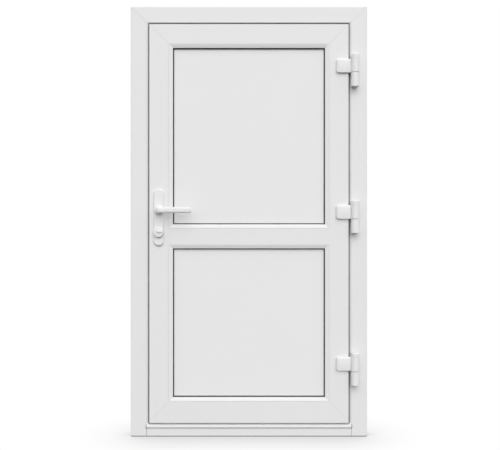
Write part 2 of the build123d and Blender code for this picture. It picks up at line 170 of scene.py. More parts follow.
def add_lamp(name, towards, strength, spread):
    """A sun lamp that stands in the given direction and is as wide as the spread, in degrees."""
    data = bpy.data.lights.new(name, "SUN")
    data.energy = strength
    data.angle = math.radians(spread)
    lamp = bpy.data.objects.new(name, data)
    lamp.rotation_euler = Vector(towards).to_track_quat("Z", "Y").to_euler()
    lamp.visible_glossy = False
    bpy.context.collection.objects.link(lamp)
    print("lamp", name, strength, "from", towards)


add_lamp("key", KEY_FROM, KEY_STRENGTH, KEY_SPREAD)
add_lamp("rear", REAR_FROM, REAR_STRENGTH, REAR_SPREAD)

# %% [markdown]
# ## Floor
#
# One pale sheet that runs out to the white background. Its shade close to the door is painted: the sheet glows where
# it is seen, and its brightness follows how much of its sky is open, which an Ambient Occlusion node measures within
# a short reach. A second one, with a much shorter reach, paints shade only under the door, where the shadow gap meets
# the floor. To the rays that carry light the sheet is a dim grey, which keeps the undersides of the hinges dark.

# %% Floor
FLOOR_HALF = 120.0
FLOOR_SHADE = 0.46
FLOOR_REACH = 0.28
FLOOR_BOUNCE = 0.12
CONTACT_REACH = 0.03
CONTACT_SHADE = 0.03
CONTACT_FROM = 0.25
CONTACT_TO = 0.48


def floor_finish():
    """White paper where it is seen, with painted shade near the door, and a dim grey where it only carries light."""
    material = bpy.data.materials.new("floor_paper_painted_shade")
    material.use_nodes = True
    tree = material.node_tree
    tree.nodes.clear()
    painted_shades = []
    reaches = ((FLOOR_REACH, FLOOR_SHADE, 0.0, 1.0), (CONTACT_REACH, CONTACT_SHADE, CONTACT_FROM, CONTACT_TO))
    for reach, darkest, closed, opened in reaches:
        sky = tree.nodes.new("ShaderNodeAmbientOcclusion")
        sky.inputs["Distance"].default_value = reach
        level = tree.nodes.new("ShaderNodeMapRange")
        feed(tree, level.inputs["Value"], sky.outputs["AO"])
        for label, value in (("From Min", closed), ("From Max", opened), ("To Min", darkest)):
            feed(tree, level.inputs[label], value)
        painted_shades.append(level.outputs["Result"])
    paper = tree.nodes.new("ShaderNodeEmission")
    # Painted shade: the paper's glow is dimmed by the two occlusion masks.
    feed(tree, paper.inputs["Strength"], chain(tree, "MULTIPLY", *painted_shades))
    bounce = tree.nodes.new("ShaderNodeEmission")
    bounce.inputs["Strength"].default_value = FLOOR_BOUNCE
    two_ways(tree, paper, bounce, tree.nodes.new("ShaderNodeOutputMaterial"))
    return material


floor_mesh = bpy.data.meshes.new("floor")
corners = [(-FLOOR_HALF, -FLOOR_HALF), (FLOOR_HALF, -FLOOR_HALF), (FLOOR_HALF, FLOOR_HALF), (-FLOOR_HALF, FLOOR_HALF)]
floor_mesh.from_pydata([(x, y, 0.0) for x, y in corners], [], [(0, 1, 2, 3)])
floor = bpy.data.objects.new("floor", floor_mesh)
floor.data.materials.append(floor_finish())
bpy.context.collection.objects.link(floor)
print("floor", 2 * FLOOR_HALF, "m square")

# %% [markdown]
# ## Shared effects
#
# Every finish on the door has soft edges, most carry fine lines or ripples from how they were made, and all have
# been handled and have stood in a room. Two of the groups also give masks where the finishes paint shade: tight gaps,
# and ledges that face up. Each of those effects is one node group, built once. A material places the groups that it
# needs with its own values, and decides itself what their masks and heights do to it.

# %% Groups: how they are built
FLOAT = "NodeSocketFloat"
VECTOR = "NodeSocketVector"


def new_group(name, inputs, outputs):
    """An empty node group; inputs and outputs pair a socket's name with its kind."""
    group = bpy.data.node_groups.new(name, "ShaderNodeTree")
    for label, kind in inputs.items():
        group.interface.new_socket(label, in_out="INPUT", socket_type=kind)
    for label, kind in outputs.items():
        group.interface.new_socket(label, in_out="OUTPUT", socket_type=kind)
    return group, group.nodes.new("NodeGroupInput").outputs, group.nodes.new("NodeGroupOutput").inputs


def use_group(tree, group, **values):
    """Place a group in a material with its own values, and return its outputs."""
    node = tree.nodes.new("ShaderNodeGroup")
    node.node_tree = group
    for label, value in values.items():
        feed(tree, node.inputs[label], value)
    return node.outputs


def in_object(tree):
    """The piece's own coordinates, in metres."""
    return tree.nodes.new("ShaderNodeTexCoord").outputs["Object"]


def noise(tree, vector, scale, detail):
    """Place a Noise texture and return its level, which is about 0.5 in the middle."""
    node = tree.nodes.new("ShaderNodeTexNoise")
    feed(tree, node.inputs["Vector"], vector)
    feed(tree, node.inputs["Scale"], scale)
    feed(tree, node.inputs["Detail"], detail)
    return node.outputs["Fac"]


def vector_math(tree, operation, first, second, output="Vector"):
    """Place a Vector Math node and return one of its outputs."""
    node = tree.nodes.new("ShaderNodeVectorMath")
    node.operation = operation
    feed(tree, node.inputs[0], first)
    feed(tree, node.inputs[1], second)
    return node.outputs[output]


print("group helpers ready")

# %% [markdown]
# ### Soft edges
#
# No moulded, extruded or coated edge is a perfect corner. A modifier would change the CAD meshes, which must stay
# as they are, so the Bevel node turns the normals near an edge instead. How far it turned them also shows where
# the edges are, and that mask lets a finish wear a little there.

# %% Soft edges
EDGE_GAIN = 6.0

soft_edges, ins, outs = new_group("soft_edges", {"Radius": FLOAT}, {"Normal": VECTOR, "Edge": FLOAT})
rounding = soft_edges.nodes.new("ShaderNodeBevel")
rounding.samples = 6
feed(soft_edges, rounding.inputs["Radius"], ins["Radius"])
feed(soft_edges, outs["Normal"], rounding.outputs["Normal"])
true_normal = soft_edges.nodes.new("ShaderNodeNewGeometry").outputs["True Normal"]
turned = vector_math(soft_edges, "DOT_PRODUCT", rounding.outputs["Normal"], true_normal, "Value")
bare = chain(soft_edges, "MULTIPLY", chain(soft_edges, "SUBTRACT", 1.0, turned), EDGE_GAIN)
feed(soft_edges, outs["Edge"], chain(soft_edges, "MINIMUM", bare, 1.0))
print("group", soft_edges.name)

# %% [markdown]
# ### Drawn lines
#
# An extruded profile, a pressed rubber strip and a drawn steel strip all keep faint lines along their length, from
# the die or the rollers. Noise stretched by a very different amount along and across gives them: the Grain vector
# says how many features there are in a metre, each way.

# %% Drawn lines
BAND_SHARE = 0.12

drawn_lines, ins, outs = new_group("drawn_lines", {"Grain": VECTOR}, {"Height": FLOAT, "Tone": FLOAT})
stretched = vector_math(drawn_lines, "MULTIPLY", in_object(drawn_lines), ins["Grain"])
feed(drawn_lines, outs["Height"], noise(drawn_lines, stretched, 1.0, 2.0))
feed(drawn_lines, outs["Tone"], noise(drawn_lines, stretched, BAND_SHARE, 1.0))
print("group", drawn_lines.name)

# %% [markdown]
# ### Spray ripple
#
# Powder coat flows out into tiny soft dimples, and a calendered sheet has a gentler version of the same. Plain
# noise at the size of a dimple gives the height, and a much slower one a cloudy change of tone.

# %% Spray ripple
CLOUD_SHARE = 0.02

spray_ripple, ins, outs = new_group("spray_ripple", {"Dimples": FLOAT}, {"Height": FLOAT, "Tone": FLOAT})
feed(spray_ripple, outs["Height"], noise(spray_ripple, in_object(spray_ripple), ins["Dimples"], 1.0))
cloud_scale = chain(spray_ripple, "MULTIPLY", ins["Dimples"], CLOUD_SHARE)
feed(spray_ripple, outs["Tone"], noise(spray_ripple, in_object(spray_ripple), cloud_scale, 3.0))
print("group", spray_ripple.name)

# %% [markdown]
# ### Seam shade and grime
#
# Where two pieces meet, a hair-wide gap holds shadow and a little grime: at welds, along the beads, round the plate
# and the hinge flags. The finishes paint that shadow into their colour, together with the grime. An Ambient Occlusion
# node with a reach of millimetres finds those places. A plain inner corner still sees half of its sky, so the mask
# starts below that and is full where almost none is left.

# %% Seam shade and grime
SEAM_OPEN = 0.62
SEAM_SHUT = 0.2

seam_shade_and_grime, ins, outs = new_group("seam_shade_and_grime", {"Reach": FLOAT}, {"Mask": FLOAT})
near_sky = seam_shade_and_grime.nodes.new("ShaderNodeAmbientOcclusion")
feed(seam_shade_and_grime, near_sky.inputs["Distance"], ins["Reach"])
shut = seam_shade_and_grime.nodes.new("ShaderNodeMapRange")
feed(seam_shade_and_grime, shut.inputs["Value"], near_sky.outputs["AO"])
feed(seam_shade_and_grime, shut.inputs["From Min"], SEAM_OPEN)
feed(seam_shade_and_grime, shut.inputs["From Max"], SEAM_SHUT)
feed(seam_shade_and_grime, outs["Mask"], shut.outputs["Result"])
print("group", seam_shade_and_grime.name)

# %% [markdown]
# ### Settled dust, painted top shade and hand marks
#
# A new door is clean but not sterile. A trace of dust lies on the ledges that face up, patchy along their length.
# On the white finishes the same mask also paints shade there, which holds the ledges that face the key below white.
# Hands and cloths leave broad smears that show only as a change of gloss. Both come out as plain masks.

# %% Settled dust and painted top shade
DUST_PATCHES = 26.0
# On white finishes this darkening is partly dust and partly painted shade on the ledges that face up.
DUST_AND_TOP_SHADE = -0.35

settled_dust_and_top_shade, ins, outs = new_group("settled_dust_and_top_shade", {"Amount": FLOAT}, {"Mask": FLOAT})
facing = settled_dust_and_top_shade.nodes.new("ShaderNodeSeparateXYZ")
feed(settled_dust_and_top_shade, facing.inputs[0], settled_dust_and_top_shade.nodes.new("ShaderNodeNewGeometry").outputs["Normal"])
upward = chain(settled_dust_and_top_shade, "POWER", chain(settled_dust_and_top_shade, "MAXIMUM", facing.outputs["Z"], 0.0), 2.0)
patchy = noise(settled_dust_and_top_shade, in_object(settled_dust_and_top_shade), DUST_PATCHES, 4.0)
lying = chain(settled_dust_and_top_shade, "MULTIPLY", upward, patchy)
feed(settled_dust_and_top_shade, outs["Mask"], chain(settled_dust_and_top_shade, "MULTIPLY", lying, ins["Amount"]))
print("group", settled_dust_and_top_shade.name)

# %% Hand marks
SMEAR_TOP = 0.62
SMEAR_BLEND = 0.2

hand_marks, ins, outs = new_group("hand_marks", {"Size": FLOAT}, {"Mask": FLOAT})
per_metre = chain(hand_marks, "DIVIDE", 1.0, ins["Size"])
smear = noise(hand_marks, in_object(hand_marks), per_metre, 5.0)
feed(hand_marks, outs["Mask"], chain(hand_marks, "SMOOTH_MIN", smear, SMEAR_TOP, SMEAR_BLEND))
print("group", hand_marks.name)

# %% [markdown]
# ## Finishes
#
# Each finish starts from one level of grey and one roughness, the plain values of the real material, and adds small
# terms: so much for each effect, about the middle of its mask. The same short steps serve all six finishes, so a
# learner can compare them by their numbers alone.

# %% Finish helpers


def start_finish(name):
    """A new material with one Principled shader."""
    material = bpy.data.materials.new(name)
    material.use_nodes = True
    tree = material.node_tree
    return material, tree, tree.nodes["Principled BSDF"]


def add_terms(tree, base, *terms):
    """The base plus each term: an output, the level it is measured from, and its weight."""
    total = base
    for output, middle, weight in terms:
        total = chain(tree, "MULTIPLY_ADD", chain(tree, "SUBTRACT", output, middle), weight, total)
    return total


def paint(tree, shader, level, tint=(1.0, 1.0, 1.0)):
    """Base Color from one level of grey and a tint."""
    colour = tree.nodes.new("ShaderNodeCombineColor")
    for socket, share in zip(colour.inputs, tint):
        feed(tree, socket, chain(tree, "MULTIPLY", level, share))
    feed(tree, shader.inputs["Base Color"], colour.outputs[0])


def relief(tree, shader, normal, height, depth):
    """Bump of a real depth in metres, over softened normals."""
    bump = tree.nodes.new("ShaderNodeBump")
    bump.inputs["Distance"].default_value = depth
    feed(tree, bump.inputs["Height"], height)
    feed(tree, bump.inputs["Normal"], normal)
    feed(tree, shader.inputs["Normal"], bump.outputs[0])


print("finish helpers ready")

# %% [markdown]
# ### White profile
#
# The frame, the leaf and the beads are extruded white uPVC: neutral, satin, with faint lines along each bar. One
# function makes two materials, one with the lines upright and one with them level, because jambs and rails are
# drawn in their own direction and meet at a weld.

# %% White profile
PROFILE_LEVEL = 0.78
PROFILE_ROUGHNESS = 0.38
PROFILE_EDGE = 0.0007
SEAM_REACH = 0.005
# Painted shade, with a little grime, in the tight gaps that the seam mask finds.
SEAM_SHADE_AND_GRIME = -0.45
LINES_ACROSS = 650.0
LINES_ALONG = 4.0


def profile_finish(name, grain):
    """White uPVC whose drawn lines run the way that the grain says."""
    material, tree, shader = start_finish(name)
    edges = use_group(tree, soft_edges, Radius=PROFILE_EDGE)
    seams = use_group(tree, seam_shade_and_grime, Reach=SEAM_REACH)
    lines = use_group(tree, drawn_lines, Grain=grain)
    dust = use_group(tree, settled_dust_and_top_shade, Amount=0.5)
    marks = use_group(tree, hand_marks, Size=0.16)
    level = add_terms(
        tree,
        PROFILE_LEVEL,
        (lines["Tone"], 0.5, 0.012),
        # dust, and painted shade on the ledges that face up
        (dust["Mask"], 0.0, DUST_AND_TOP_SHADE),
        (edges["Edge"], 0.0, 0.01),
        # painted shade and a little grime in tight gaps
        (seams["Mask"], 0.0, SEAM_SHADE_AND_GRIME),
    )
    paint(tree, shader, level)
    rough = add_terms(tree, PROFILE_ROUGHNESS, (marks["Mask"], 0.5, 0.22), (dust["Mask"], 0.0, 0.25))
    feed(tree, shader.inputs["Roughness"], rough)
    relief(tree, shader, edges["Normal"], lines["Height"], 0.00002)
    return material


profile_upright = profile_finish("profile_upright", (LINES_ACROSS, LINES_ACROSS, LINES_ALONG))
profile_level = profile_finish("profile_level", (LINES_ALONG, LINES_ACROSS, LINES_ACROSS))
print("finishes", profile_upright.name, profile_level.name)

# %% [markdown]
# ### Panel skin
#
# The infill panels have a flat white skin. A sheet that large is never dead flat: very shallow, slow waves move its
# gloss, and a fine calendered texture takes the shine off. It is a hair lighter than the profiles round it.

# %% Panel skin
PANEL_LEVEL = 0.80
PANEL_ROUGHNESS = 0.44

panel_skin, tree, shader = start_finish("panel_skin")
edges = use_group(tree, soft_edges, Radius=0.001)
ripple = use_group(tree, spray_ripple, Dimples=420.0)
marks = use_group(tree, hand_marks, Size=0.3)
level = add_terms(tree, PANEL_LEVEL, (ripple["Tone"], 0.5, 0.014), (edges["Edge"], 0.0, -0.01))
paint(tree, shader, level)
rough = add_terms(tree, PANEL_ROUGHNESS, (marks["Mask"], 0.5, 0.2), (ripple["Tone"], 0.5, 0.06))
feed(tree, shader.inputs["Roughness"], rough)
relief(tree, shader, edges["Normal"], ripple["Height"], 0.00003)
print("finish", panel_skin.name)

# %% [markdown]
# ### White coat on metal
#
# Handle, plate and hinges are cast or turned metal under white powder coat. It is thicker than paint: edges look
# poured, so their radius is larger here, and the surface has an orange-peel ripple.

# %% White coat on metal
COAT_LEVEL = 0.79
COAT_ROUGHNESS = 0.34
COAT_EDGE = 0.0025

white_coat, tree, shader = start_finish("white_coat")
edges = use_group(tree, soft_edges, Radius=COAT_EDGE)
ripple = use_group(tree, spray_ripple, Dimples=700.0)
dust = use_group(tree, settled_dust_and_top_shade, Amount=0.4)
marks = use_group(tree, hand_marks, Size=0.05)
seams = use_group(tree, seam_shade_and_grime, Reach=SEAM_REACH)
level = add_terms(
    tree,
    COAT_LEVEL,
    (ripple["Tone"], 0.5, 0.012),
    # dust, and painted shade on the ledges that face up
    (dust["Mask"], 0.0, DUST_AND_TOP_SHADE),
    (edges["Edge"], 0.0, -0.008),
    # painted shade and a little grime in tight gaps
    (seams["Mask"], 0.0, SEAM_SHADE_AND_GRIME),
)
paint(tree, shader, level)
rough = add_terms(tree, COAT_ROUGHNESS, (marks["Mask"], 0.5, 0.25), (edges["Edge"], 0.0, 0.04))
feed(tree, shader.inputs["Roughness"], rough)
relief(tree, shader, edges["Normal"], ripple["Height"], 0.00004)
print("finish", white_coat.name)

# %% [markdown]
# ### Dark rubber
#
# Gaskets and seals are black rubber strips. They are matt, faintly grey with dust where they face up, and carry
# the fine lines of the nozzle that they were pressed through.

# %% Dark rubber
RUBBER_LEVEL = 0.015
RUBBER_ROUGHNESS = 0.72
RUBBER_SPECULAR = 0.25

dark_rubber, tree, shader = start_finish("dark_rubber")
shader.inputs["Specular IOR Level"].default_value = RUBBER_SPECULAR
edges = use_group(tree, soft_edges, Radius=0.0006)
lines = use_group(tree, drawn_lines, Grain=(900.0, 900.0, 900.0))
dust = use_group(tree, settled_dust_and_top_shade, Amount=0.6)
level = add_terms(tree, RUBBER_LEVEL, (lines["Tone"], 0.5, 0.01), (dust["Mask"], 0.0, 0.04))
paint(tree, shader, level)
rough = add_terms(tree, RUBBER_ROUGHNESS, (lines["Height"], 0.5, 0.2))
feed(tree, shader.inputs["Roughness"], rough)
relief(tree, shader, edges["Normal"], lines["Height"], 0.00004)
print("finish", dark_rubber.name)

# %% [markdown]
# ### Zinc steel
#
# Faceplate, keeps, bolts, pins, spindle and screws are zinc-plated steel. Zinc settles in spangles, patches of
# crystal that catch the light differently. A Voronoi texture gives each patch its own level and gloss, and only
# this finish has them, so they stay in the material.

# %% Zinc steel
ZINC_LEVEL = 0.54
ZINC_ROUGHNESS = 0.36
SPANGLES = 150.0

zinc_steel, tree, shader = start_finish("zinc_steel")
shader.inputs["Metallic"].default_value = 1.0
spangle = tree.nodes.new("ShaderNodeTexVoronoi")
spangle.inputs["Scale"].default_value = SPANGLES
feed(tree, spangle.inputs["Vector"], in_object(tree))
facet = tree.nodes.new("ShaderNodeSeparateColor")
feed(tree, facet.inputs[0], spangle.outputs["Color"])
edges = use_group(tree, soft_edges, Radius=0.0006)
lines = use_group(tree, drawn_lines, Grain=(1200.0, 1200.0, 12.0))
level = add_terms(
    tree,
    ZINC_LEVEL,
    (facet.outputs["Red"], 0.5, 0.1),
    (lines["Tone"], 0.5, 0.06),
    (edges["Edge"], 0.0, 0.1),
)
paint(tree, shader, level, (0.98, 0.99, 1.0))
rough = add_terms(tree, ZINC_ROUGHNESS, (facet.outputs["Green"], 0.5, 0.12), (lines["Height"], 0.5, 0.1))
feed(tree, shader.inputs["Roughness"], rough)
relief(tree, shader, edges["Normal"], lines["Height"], 0.00002)
print("finish", zinc_steel.name)

# %% [markdown]
# ### Satin nickel
#
# The lock cylinder is brass under satin nickel: a little warm, brushed round its end, and polished on the edge of
# the key slot where keys touch it.

# %% Satin nickel
NICKEL_LEVEL = 0.6
NICKEL_ROUGHNESS = 0.3

satin_nickel, tree, shader = start_finish("satin_nickel")
shader.inputs["Metallic"].default_value = 1.0
edges = use_group(tree, soft_edges, Radius=0.0008)
lines = use_group(tree, drawn_lines, Grain=(1500.0, 30.0, 90.0))
marks = use_group(tree, hand_marks, Size=0.02)
level = add_terms(tree, NICKEL_LEVEL, (lines["Tone"], 0.5, 0.08), (edges["Edge"], 0.0, 0.12))
paint(tree, shader, level, (1.0, 0.97, 0.92))
rough = add_terms(tree, NICKEL_ROUGHNESS, (marks["Mask"], 0.5, 0.3), (edges["Edge"], 0.0, -0.1))
feed(tree, shader.inputs["Roughness"], rough)
relief(tree, shader, edges["Normal"], lines["Height"], 0.00002)
print("finish", satin_nickel.name)

# %% [markdown]
# ## Dress the solids
#
# The record says which material slot each solid has. Bars that are taller than they are wide take the upright
# profile and the rest the level one, so the drawn lines always run along the bar.

# %% Dress the solids
finishes = {
    "upvc_profile": profile_level,
    "panel_skin": panel_skin,
    "coated_metal": white_coat,
    "seal_rubber": dark_rubber,
    "lock_steel": zinc_steel,
    "cylinder_nickel": satin_nickel,
}


def finish_for(node, slot):
    """The finish of a slot, with upright lines on bars that stand."""
    low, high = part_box(node)
    if slot == "upvc_profile" and high.z - low.z > high.x - low.x:
        return profile_upright
    return finishes[slot]


for row in record["subparts"]:
    solid = nodes[row["node"]]
    solid.data.materials.clear()
    solid.data.materials.append(finish_for(row["node"], row["material_slot"]))
print("dressed", len(record["subparts"]), "solids")

# %% [markdown]
# ## Small fittings
#
# The CAD side leaves the small things to this side: screw heads, lock bolts, striker trays, grub screws, the round
# beads of the gaskets and the threshold's rubber pads. Each set is one mesh, drawn with bmesh in the door's own
# coordinates, so it needs no placing afterwards. One helper turns a finished bmesh into a piece that rides on its
# body, and a few others draw loops of points and join them with strips of faces.

# %% Piece helpers


def finish_piece(name, mesh, body, slot, smooth_angle=0.6):
    """Close a bmesh into a named piece with its finish, riding on a body."""
    bmesh.ops.recalc_face_normals(mesh, faces=mesh.faces)
    for edge in mesh.edges:
        edge.smooth = edge.is_manifold and edge.calc_face_angle(math.pi) < smooth_angle
    for face in mesh.faces:
        face.smooth = True
    data = bpy.data.meshes.new(name)
    mesh.to_mesh(data)
    mesh.free()
    piece = bpy.data.objects.new(name, data)
    piece.data.materials.append(finishes[slot])
    bpy.context.collection.objects.link(piece)
    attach(piece, body)
    print("piece", name, len(data.polygons), "faces on", body)
    return piece


def facing_out(place, outward):
    """A matrix at a place whose z axis points outward."""
    turn = Vector(outward).to_track_quat("Z", "Y").to_matrix().to_4x4()
    return Matrix.Translation(place) @ turn


def loop_of(mesh, matrix, points):
    """New vertices at the points, moved by the matrix."""
    return [mesh.verts.new(matrix @ Vector(point)) for point in points]


def bridge(mesh, first, second):
    """A strip of faces between two loops of the same length."""
    for index in range(len(first)):
        after = (index + 1) % len(first)
        mesh.faces.new((first[index], first[after], second[after], second[index]))


def ring_points(radius, height, count=32):
    """A circle at a height."""
    steps = [2 * math.pi * index / count for index in range(count)]
    return [(radius * math.cos(step), radius * math.sin(step), height) for step in steps]


print("piece helpers ready")


# %% [markdown]
# ### Screw heads
#
# A countersunk screw is a low crown with a driver recess. The crown is rings bridged together. The recess is an
# outline that is dropped inside the top ring: triangle_fill closes the flat between the two, and the same outline,
# smaller and lower, makes the floor. The outline is a cross for wood screws and a hexagon for grub screws.

# %% Screw heads
HEAD_SINK = 0.0004
BRIM_RADIUS = 0.96
BRIM_HEIGHT = 0.45
TOP_RADIUS = 0.8
RECESS_TAPER = 0.7
RECESS_FLOOR = 0.15
CROSS_REACH = 0.56
CROSS_ARM = 0.14


def cross_points(radius):
    """The outline of a cross recess for a head of the given radius."""
    reach, half_arm = radius * CROSS_REACH, radius * CROSS_ARM
    quarter = [(reach, -half_arm), (reach, half_arm), (half_arm, half_arm)]
    points = []
    for turn in range(4):
        spin = Matrix.Rotation(turn * math.pi / 2, 2)
        points += [spin @ Vector(point) for point in quarter]
    return points


def hex_points(reach):
    """The outline of a hexagon recess."""
    steps = [index * math.pi / 3 for index in range(6)]
    return [Vector((reach * math.cos(step), reach * math.sin(step))) for step in steps]


def add_screw(mesh, place, outward, radius, crown, outline):
    """One head standing a crown's height above its face, with a recess of the given outline."""
    matrix = facing_out(place, outward)
    foot = loop_of(mesh, matrix, ring_points(radius, -HEAD_SINK))
    brim = loop_of(mesh, matrix, ring_points(radius * BRIM_RADIUS, crown * BRIM_HEIGHT))
    top = loop_of(mesh, matrix, ring_points(radius * TOP_RADIUS, crown))
    bridge(mesh, foot, brim)
    bridge(mesh, brim, top)
    mesh.faces.new(foot)
    mouth = loop_of(mesh, matrix, [(point.x, point.y, crown) for point in outline])
    tapered = [point * RECESS_TAPER for point in outline]
    recess = loop_of(mesh, matrix, [(point.x, point.y, crown * RECESS_FLOOR) for point in tapered])
    bridge(mesh, mouth, recess)
    mesh.faces.new(recess)
    rims = []
    for loop in (top, mouth):
        rims += [mesh.edges.get((loop[index - 1], loop[index])) for index in range(len(loop))]
    bmesh.ops.triangle_fill(mesh, use_beauty=True, edges=rims)


print("screw heads ready")

# %% [markdown]
# ### Faceplate, keeps and back plate
#
# With the leaf open, its edge shows the lock's long faceplate, and the rebate shows the three keeps. Both are held
# by rows of screws. The rear handle plate is screwed through to the front one, so only the rear shows its screws.

# %% Faceplate and keep screws
SCREW_RADIUS = 0.0042
SCREW_CROWN = 0.0007
SCREW_CROSS = cross_points(SCREW_RADIUS)
FACEPLATE_SCREWS = (0.02, 0.2, 0.42, 0.58, 0.8, 0.98)
KEEP_HALF = 0.075
KEEP_SCREW_INSET = 0.012

plate_low, plate_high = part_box("lock_faceplate")
plate_y = (plate_low.y + plate_high.y) / 2
plate_length = plate_high.z - plate_low.z
mesh = bmesh.new()
for share in FACEPLATE_SCREWS:
    place = (plate_low.x, plate_y, plate_low.z + share * plate_length)
    add_screw(mesh, place, (-1, 0, 0), SCREW_RADIUS, SCREW_CROWN, SCREW_CROSS)
finish_piece("faceplate_screws", mesh, "leaf", "lock_steel")

keep_low, keep_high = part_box("lock_keeps")
keep_y = (keep_low.y + keep_high.y) / 2
boss_low, boss_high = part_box("lock_boss")
lock_z = (boss_low.z + boss_high.z) / 2
keep_centres = (keep_low.z + KEEP_HALF, lock_z, keep_high.z - KEEP_HALF)
mesh = bmesh.new()
for centre in keep_centres:
    for side in (-1, 1):
        place = (keep_high.x, keep_y, centre + side * (KEEP_HALF - KEEP_SCREW_INSET))
        add_screw(mesh, place, (1, 0, 0), SCREW_RADIUS, SCREW_CROWN, SCREW_CROSS)
finish_piece("keep_screws", mesh, "frame", "lock_steel")

# %% Back plate screws
BACK_SCREW_RADIUS = 0.0048
BACK_SCREW_CROWN = 0.0009
BACK_SCREW_INSET = 0.02
BACK_PLATE_DEPTH = 0.010

back_low, back_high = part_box("handle_plate_back")
back_x = (back_low.x + back_high.x) / 2
back_cross = cross_points(BACK_SCREW_RADIUS)
mesh = bmesh.new()
for z in (back_low.z + BACK_SCREW_INSET, back_high.z - BACK_SCREW_INSET):
    place = (back_x, back_low.y + BACK_PLATE_DEPTH, z)
    add_screw(mesh, place, (0, 1, 0), BACK_SCREW_RADIUS, BACK_SCREW_CROWN, back_cross)
finish_piece("back_plate_screws", mesh, "leaf", "lock_steel")

# %% [markdown]
# ### Grub screws
#
# A lever is fixed to its spindle by a small grub screw under the neck, and each hinge is set up with a hexagon key
# from above. Both are the same head with a hexagon recess, too low to break the outline.

# %% Grub screws
GRUB_RADIUS = 0.0032
GRUB_CROWN = 0.0004
GRUB_KEY = hex_points(GRUB_RADIUS * 0.55)
HINGE_SET_RADIUS = 0.007
HINGE_SET_CROWN = 0.0005
HINGE_SET_KEY = hex_points(HINGE_SET_RADIUS * 0.5)
NECK_REACH = 0.011

mesh = bmesh.new()
for face in ("front", "back"):
    low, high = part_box(f"lever_{face}")
    rose_low, rose_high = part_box(f"handle_plate_{face}")
    neck_y = rose_low.y - NECK_REACH if face == "front" else rose_high.y + NECK_REACH
    add_screw(mesh, (back_x, neck_y, low.z), (0, 0, -1), GRUB_RADIUS, GRUB_CROWN, GRUB_KEY)
finish_piece("lever_grub_screws", mesh, "handle", "lock_steel")

mesh = bmesh.new()
for height in ("upper", "middle", "lower"):
    low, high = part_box(f"{height}_hinge_cap")
    place = ((low.x + high.x) / 2, (low.y + high.y) / 2, high.z)
    add_screw(mesh, place, (0, 0, 1), HINGE_SET_RADIUS, HINGE_SET_CROWN, HINGE_SET_KEY)
finish_piece("hinge_set_screws", mesh, "leaf", "coated_metal")

# %% [markdown]
# ### Bolts and striker trays
#
# The latch, the dead bolt and two hooks look out of the faceplate, drawn back so that the leaf swings freely. Each
# is a rounded block with a lead-in slope on one side. In the keeps opposite, each bolt meets a shallow lipped tray.

# %% Lock bolts
BOLT_PROUD = 0.0028
BOLT_CORNER = 0.25
BOLT_WAIST = 0.7
BOLT_END = (0.86, 0.95)
CORNER_STEPS = 4


def rounded_outline(width, height, radius):
    """Points round a rectangle with round corners, as x and y pairs."""
    points = []
    for turn, (side_x, side_y) in enumerate(((1, 1), (-1, 1), (-1, -1), (1, -1))):
        centre = Vector((side_x * (width / 2 - radius), side_y * (height / 2 - radius)))
        for step in range(CORNER_STEPS + 1):
            angle = (turn + step / CORNER_STEPS) * math.pi / 2
            points.append(centre + radius * Vector((math.cos(angle), math.sin(angle))))
    return points


def add_bolt(mesh, place, outward, width, height, proud, slope):
    """A rounded block; its end is lower on one side by the slope."""
    matrix = facing_out(place, outward)
    outline = rounded_outline(width, height, min(width, height) * BOLT_CORNER)
    rises = [proud * (1 - slope * (0.5 - point.x / width)) for point in outline]
    narrow, short = BOLT_END
    foot = loop_of(mesh, matrix, [(point.x, point.y, -HEAD_SINK) for point in outline])
    waist = loop_of(mesh, matrix, [(point.x, point.y, rise * BOLT_WAIST) for point, rise in zip(outline, rises)])
    end = loop_of(mesh, matrix, [(point.x * narrow, point.y * short, rise) for point, rise in zip(outline, rises)])
    bridge(mesh, foot, waist)
    bridge(mesh, waist, end)
    mesh.faces.new(foot)
    mesh.faces.new(end)


lever_low, lever_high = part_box("lever_front")
lever_z = (lever_low.z + lever_high.z) / 2
latch = (lever_z + 0.012, 0.012, 0.034, 0.75)
dead_bolt = (lock_z - 0.040, 0.010, 0.040, 0.1)
hooks = [(keep_centres[place], 0.009, 0.046, 0.25) for place in (0, 2)]
mesh = bmesh.new()
for z, width, height, slope in (latch, dead_bolt, *hooks):
    add_bolt(mesh, (plate_low.x, plate_y, z), (-1, 0, 0), width, height, BOLT_PROUD, slope)
finish_piece("lock_bolts", mesh, "leaf", "lock_steel")

# %% Striker trays
TRAY_WIDTH = 0.0150
TRAY_HEIGHT = 0.058
TRAY_LIP = 0.0012
TRAY_WALL = 0.0016
TRAY_CORNERS = (0.004, 0.003)
TRAY_SHOULDER = 0.7
TRAY_FLOOR = 0.1


def add_tray(mesh, place, outward):
    """A lipped tray: a wall round a sunk floor."""
    matrix = facing_out(place, outward)
    outer_corner, inner_corner = TRAY_CORNERS
    outer = rounded_outline(TRAY_WIDTH, TRAY_HEIGHT, outer_corner)
    inner = rounded_outline(TRAY_WIDTH - 2 * TRAY_WALL, TRAY_HEIGHT - 2 * TRAY_WALL, inner_corner)
    wall = ((outer, -HEAD_SINK), (outer, TRAY_LIP * TRAY_SHOULDER))
    sunk = ((inner, TRAY_LIP), (inner, TRAY_LIP * TRAY_FLOOR))
    loops = []
    for outline, rise in wall + sunk:
        loops.append(loop_of(mesh, matrix, [(point.x, point.y, rise) for point in outline]))
    for first, second in zip(loops, loops[1:]):
        bridge(mesh, first, second)
    mesh.faces.new(loops[0])
    mesh.faces.new(loops[-1])


mesh = bmesh.new()
for centre in keep_centres:
    add_tray(mesh, (keep_high.x, keep_y, centre), (1, 0, 0))
finish_piece("striker_trays", mesh, "frame", "lock_steel")

# %% [markdown]
# ### Rubber beads
#
# The CAD rings are flat strips. A real gasket ends in a soft round bead that presses on the panel or the frame. A
# half-round section carried round the four corners of a rectangle gives it, with the corners mitred as they are on
# the door. The bead lies on its strip and keeps within the width that shows.

